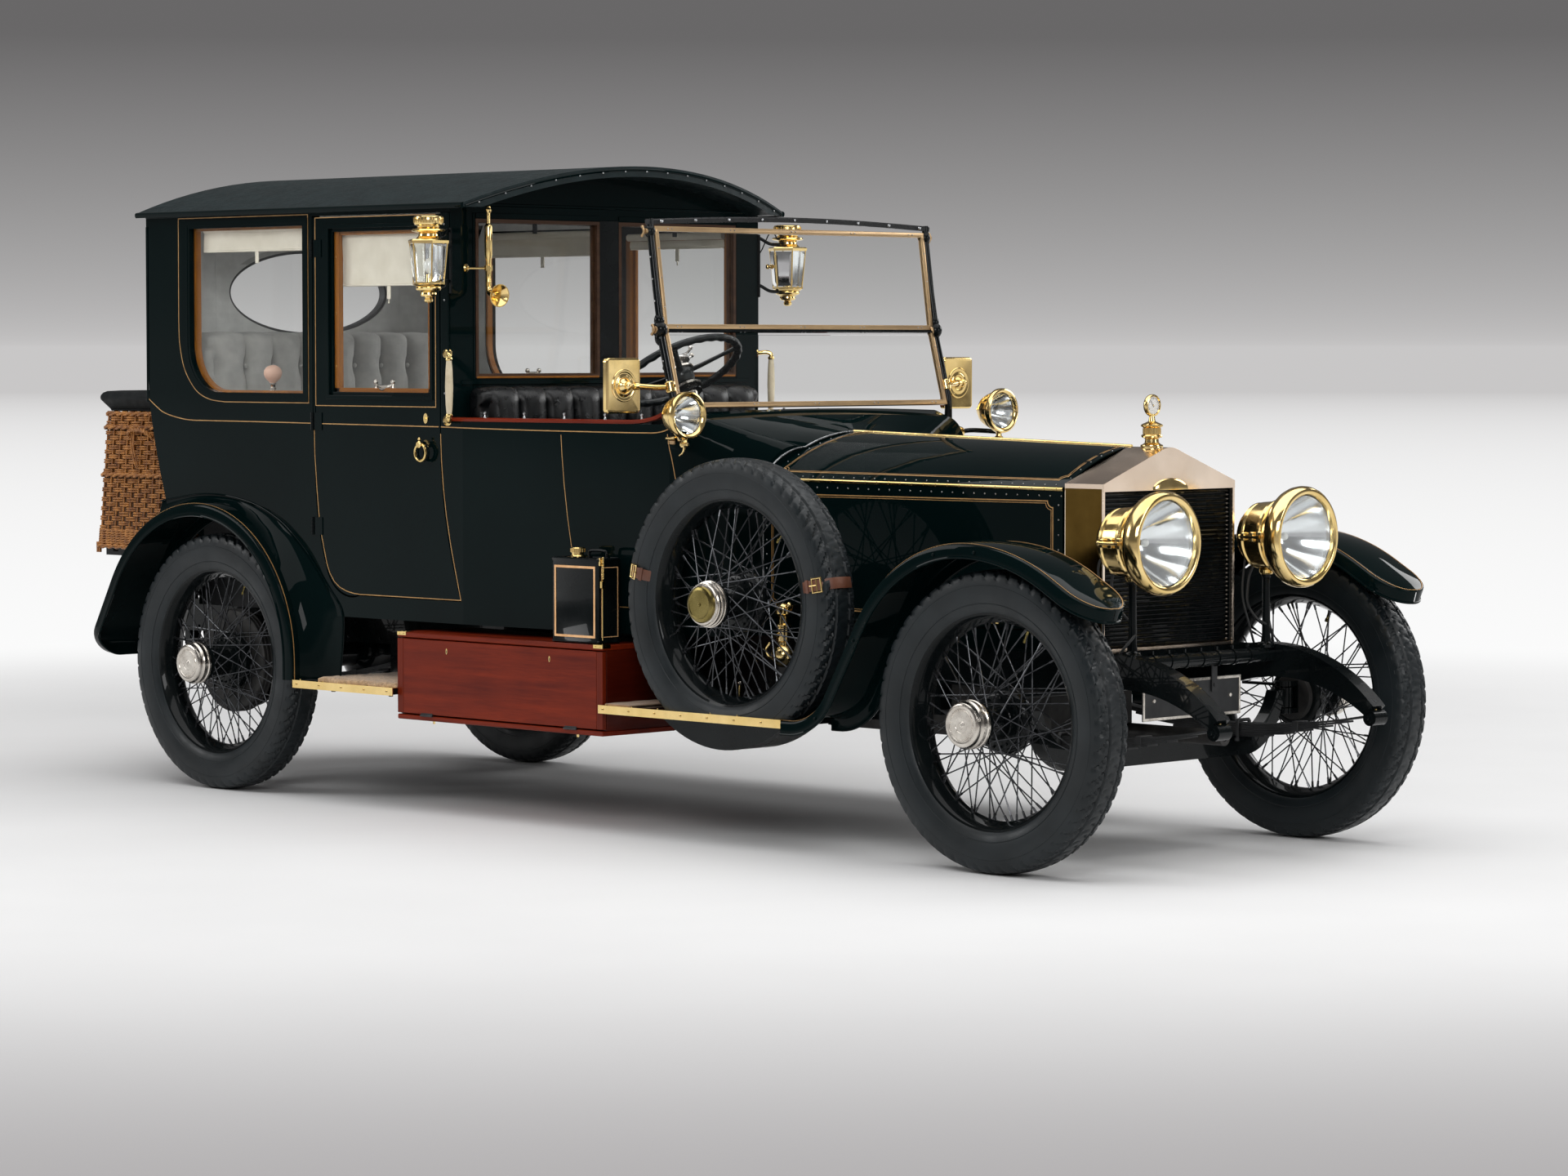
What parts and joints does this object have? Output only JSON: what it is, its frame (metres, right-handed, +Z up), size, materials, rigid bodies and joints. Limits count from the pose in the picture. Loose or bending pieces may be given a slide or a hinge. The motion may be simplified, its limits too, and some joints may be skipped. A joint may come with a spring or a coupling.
{
  "type": "brass era limousine",
  "caption": "Brass era limousine with open driver compartment, hinged doors and bonnet, steered wire wheels, spare wheel, toolbox and wicker trunk.",
  "frame": {"origin": "on the ground under the middle of the car's length and width", "axes": "+X forward along the car's length, +Y to its left, +Z up"},
  "size_m": [5.203, 1.825, 2.154],
  "materials": {
    "paint": "high gloss coach paint",
    "black_enamel": "gloss enamel",
    "brass": "polished",
    "tyre": "matt",
    "cast_iron": "cast",
    "glass": "clear",
    "wood": "varnished mahogany",
    "leather": "buttoned",
    "cloth": "buttoned wool cloth",
    "black_cloth": "oil cloth",
    "wicker": "woven willow"
  },
  "bodies": {
    "wheel_front_right": {"tyre_front_right": "tyre", "wheel_front_right": "black_enamel"},
    "wheel_front_left": {"tyre_front_left": "tyre", "wheel_front_left": "black_enamel"},
    "wheel_rear_right": {"tyre_rear_right": "tyre", "wheel_rear_right": "black_enamel"},
    "wheel_rear_left": {"tyre_rear_left": "tyre", "wheel_rear_left": "black_enamel"},
    "car": {"spare_wheel": "tyre", "chassis_frame": "black_enamel", "front_axle": "black_enamel", "rear_axle": "black_enamel", "leaf_springs": "black_enamel", "steering_column": "black_enamel", "engine_block": "cast_iron", "fuel_tank": "black_enamel", "bonnet_hinge": "brass", "radiator_shell": "brass", "radiator_core": "black_enamel", "radiator_cap": "brass", "scuttle": "paint", "cabin_sides": "paint", "driver_panels": "paint", "cabin_back": "paint", "division": "paint", "window_glass": "glass", "roof": "paint", "body_floor": "wood", "driver_seat": "leather", "rear_seat": "cloth", "windscreen_frame": "brass", "guards": "paint", "bonnet_shelves": "paint", "running_boards": "black_enamel", "toolbox": "wood", "petrol_can": "black_enamel", "headlamps": "brass", "side_lamps": "brass", "spot_lamps": "brass", "mirrors": "brass", "grab_handles": "brass", "horn": "brass", "number_plate": "black_enamel", "trunk_basket": "wicker", "luggage_rack": "black_enamel"},
    "knuckle_left": {"knuckle_left": "black_enamel"},
    "knuckle_right": {"knuckle_right": "black_enamel"},
    "track_rod": {"track_rod": "black_enamel"},
    "steering_wheel": {"steering_wheel": "black_enamel"},
    "bonnet_top_right": {"bonnet_top_right": "paint"},
    "bonnet_top_left": {"bonnet_top_left": "paint"},
    "bonnet_side_right": {"bonnet_side_right": "paint"},
    "bonnet_side_left": {"bonnet_side_left": "paint"},
    "front_door_left": {"front_door_left": "paint"},
    "rear_door_right": {"rear_door_right": "paint", "rear_door_glass_right": "glass"},
    "rear_door_left": {"rear_door_left": "paint", "rear_door_glass_left": "glass"},
    "toolbox_front": {"toolbox_front": "wood"},
    "trunk_lid": {"trunk_lid": "black_cloth"}
  },
  "joints": [
    {"name": "steer", "type": "hinge", "parent": "car", "child": "knuckle_right", "pos_m": [2.0315, -0.615, 0.4475], "axis": [0, 0, 1], "range_deg": [-28, 28]},
    {"name": "steer_left", "type": "hinge", "parent": "car", "child": "knuckle_left", "pos_m": [2.0315, 0.615, 0.4475], "axis": [0, 0, 1], "range_deg": [-28, 28]},
    {"name": "track_rod_pin", "type": "hinge", "parent": "knuckle_right", "child": "track_rod", "pos_m": [1.8815, -0.615, 0.5], "axis": [0, 0, 1], "range_deg": [-28, 28]},
    {"name": "steering_wheel_turn", "type": "hinge", "parent": "car", "child": "steering_wheel", "pos_m": [0.249, -0.29, 1.447], "axis": [-0.5299, 0, 0.848], "range_deg": [-336, 336]},
    {"name": "front_right_spin", "type": "hinge", "parent": "knuckle_right", "child": "wheel_front_right", "pos_m": [2.0315, -0.711, 0.4475], "axis": [0, 1, 0], "continuous": true},
    {"name": "front_left_spin", "type": "hinge", "parent": "knuckle_left", "child": "wheel_front_left", "pos_m": [2.0315, 0.711, 0.4475], "axis": [0, 1, 0], "continuous": true},
    {"name": "rear_right_spin", "type": "hinge", "parent": "car", "child": "wheel_rear_right", "pos_m": [-1.6135, -0.711, 0.4475], "axis": [0, 1, 0], "continuous": true},
    {"name": "rear_left_spin", "type": "hinge", "parent": "car", "child": "wheel_rear_left", "pos_m": [-1.6135, 0.711, 0.4475], "axis": [0, 1, 0], "continuous": true},
    {"name": "rear_door_right_hinge", "type": "hinge", "parent": "car", "child": "rear_door_right", "pos_m": [-1.1245, -0.721, 1.25], "axis": [0, 0, -1], "range_deg": [0, 80]},
    {"name": "rear_door_left_hinge", "type": "hinge", "parent": "car", "child": "rear_door_left", "pos_m": [-1.1245, 0.721, 1.25], "axis": [0, 0, 1], "range_deg": [0, 80]},
    {"name": "front_door_left_hinge", "type": "hinge", "parent": "car", "child": "front_door_left", "pos_m": [0.1065, 0.6905, 1], "axis": [0, 0, 1], "range_deg": [0, 75]},
    {"name": "bonnet_right_open", "type": "hinge", "parent": "car", "child": "bonnet_top_right", "pos_m": [0.749, 0, 1.273], "axis": [-0.9997, 0, 0.0255], "range_deg": [0, 60]},
    {"name": "bonnet_left_open", "type": "hinge", "parent": "car", "child": "bonnet_top_left", "pos_m": [0.749, 0, 1.273], "axis": [0.9997, 0, -0.0255], "range_deg": [0, 60]},
    {"name": "bonnet_side_right_fold", "type": "hinge", "parent": "bonnet_top_right", "child": "bonnet_side_right", "pos_m": [0.754, -0.416, 1.128], "axis": [-0.996, -0.0888, 0.0085], "range_deg": [-30, 0]},
    {"name": "bonnet_side_left_fold", "type": "hinge", "parent": "bonnet_top_left", "child": "bonnet_side_left", "pos_m": [0.754, 0.416, 1.128], "axis": [0.996, -0.0888, -0.0085], "range_deg": [-30, 0]},
    {"name": "toolbox_front_hinge", "type": "hinge", "parent": "car", "child": "toolbox_front", "pos_m": [0.209, -0.8045, 0.329], "axis": [1, 0, 0], "range_deg": [0, 85]},
    {"name": "trunk_lid_hinge", "type": "hinge", "parent": "car", "child": "trunk_lid", "pos_m": [-2.073, 0, 1.392], "axis": [0, 1, 0], "range_deg": [0, 80]}
  ],
  "couplings": [
    {"joint": "steer_left", "follows": "steer", "ratio": 1},
    {"joint": "track_rod_pin", "follows": "steer", "ratio": -1},
    {"joint": "steering_wheel_turn", "follows": "steer", "ratio": 12},
    {"joint": "bonnet_side_right_fold", "follows": "bonnet_right_open", "ratio": -0.5},
    {"joint": "bonnet_side_left_fold", "follows": "bonnet_left_open", "ratio": -0.5}
  ]
}
